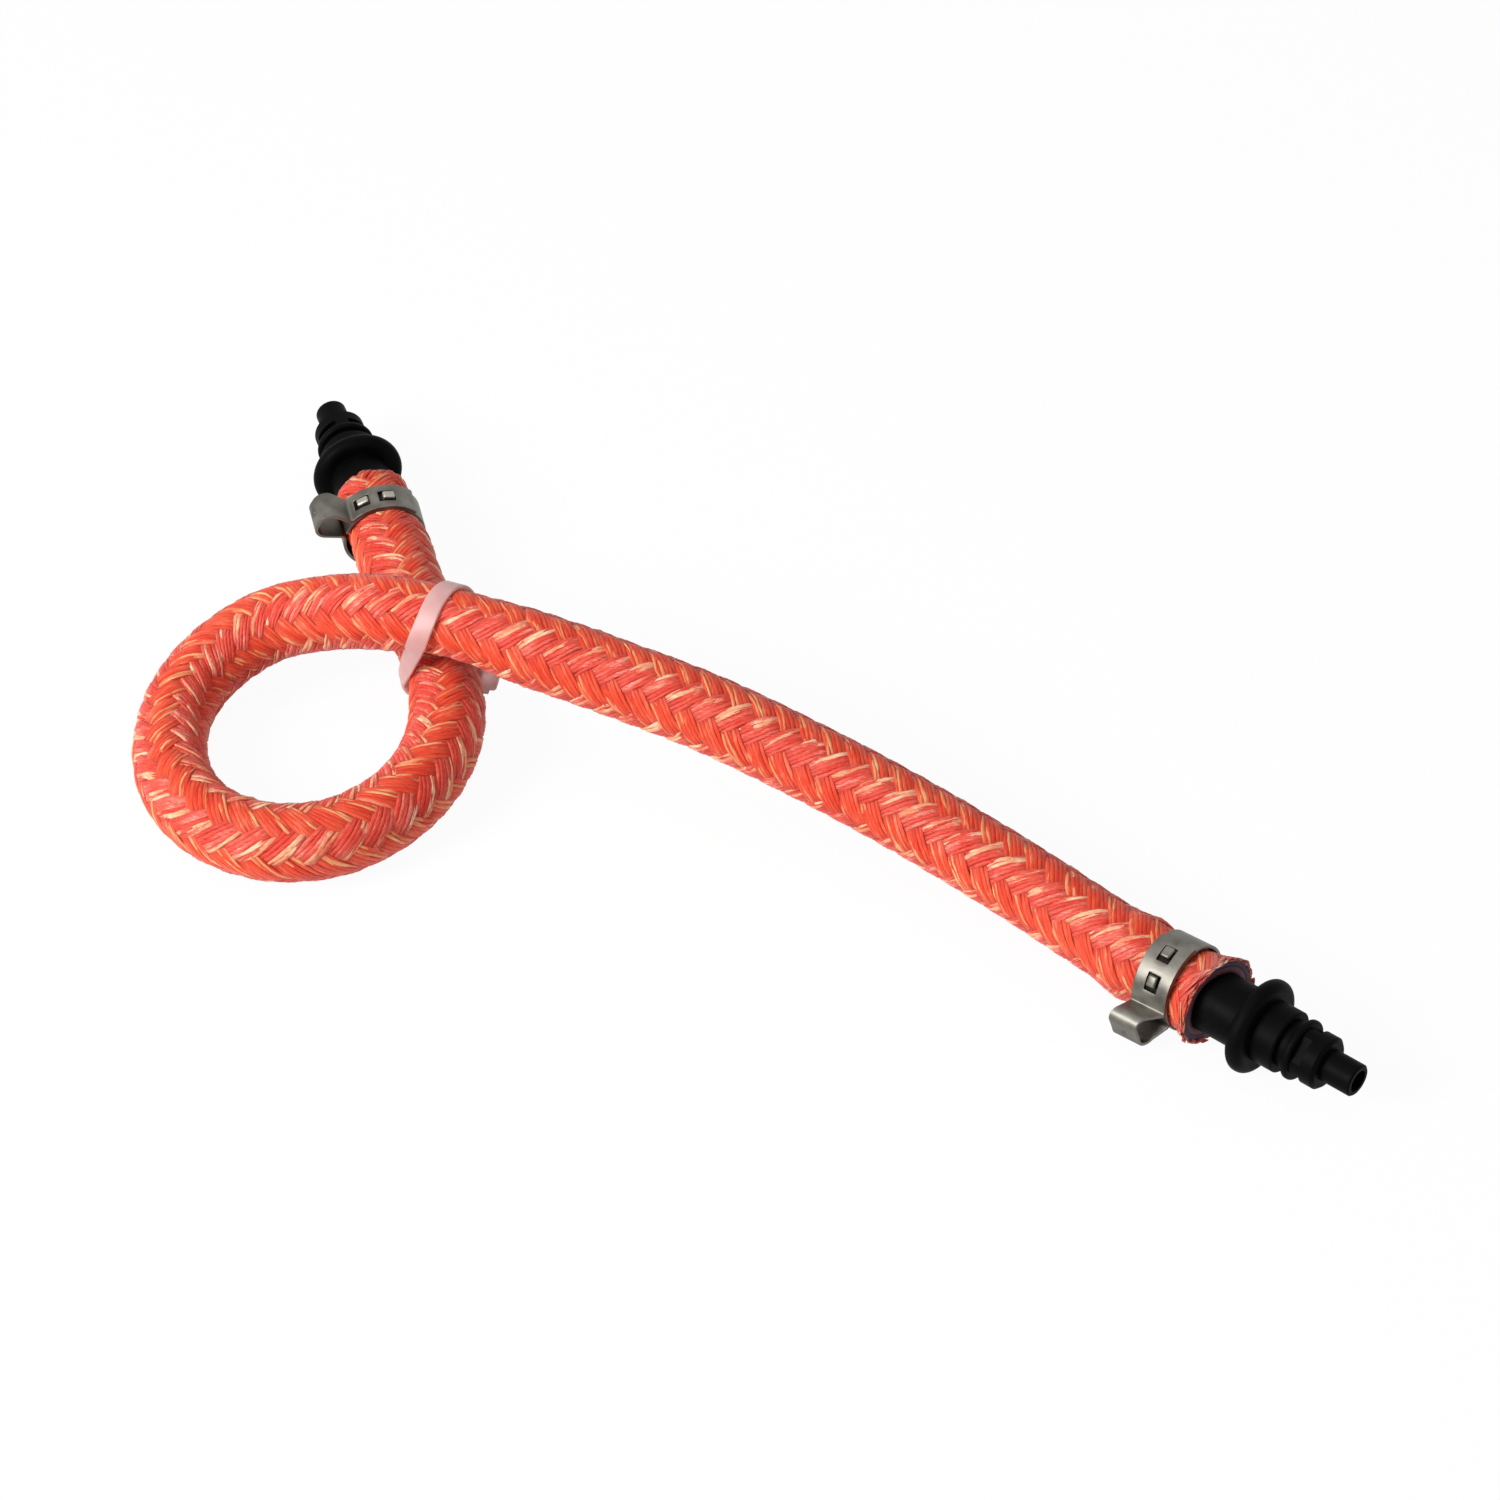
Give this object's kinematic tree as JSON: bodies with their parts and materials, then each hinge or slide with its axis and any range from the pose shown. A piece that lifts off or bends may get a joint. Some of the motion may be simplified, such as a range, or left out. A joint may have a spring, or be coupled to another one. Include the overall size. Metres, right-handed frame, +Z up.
{
  "type": "braided hose assembly",
  "caption": "Short textile-braided rubber hose laid in one loop, with a stepped plug-in fitting clamped in each end and a cable tie round the crossing.",
  "frame": {"origin": "centre of the box that encloses the assembly, at the surface it lies on", "axes": "+X along the near fitting's axis, pointing out of the hose; +Z up from the surface"},
  "size_m": [0.2594, 0.1075, 0.0315],
  "materials": {
    "liner_rubber": "matt maroon rubber",
    "ply_rubber": "matt purple-grey rubber ply",
    "textile_braid": "orange-red yarn braid with pale yellow tracer yarns",
    "black_plastic": "black moulded plastic, fine satin",
    "clamp_steel": "stainless strip, satin",
    "tie_nylon": "natural translucent nylon"
  },
  "bodies": {
    "assembly": {"hose_liner": "liner_rubber", "hose_ply": "ply_rubber", "hose_braid": "textile_braid", "near_fitting": "black_plastic", "far_fitting": "black_plastic", "near_clamp": "clamp_steel", "far_clamp": "clamp_steel", "cable_tie": "tie_nylon"}
  },
  "joints": []
}
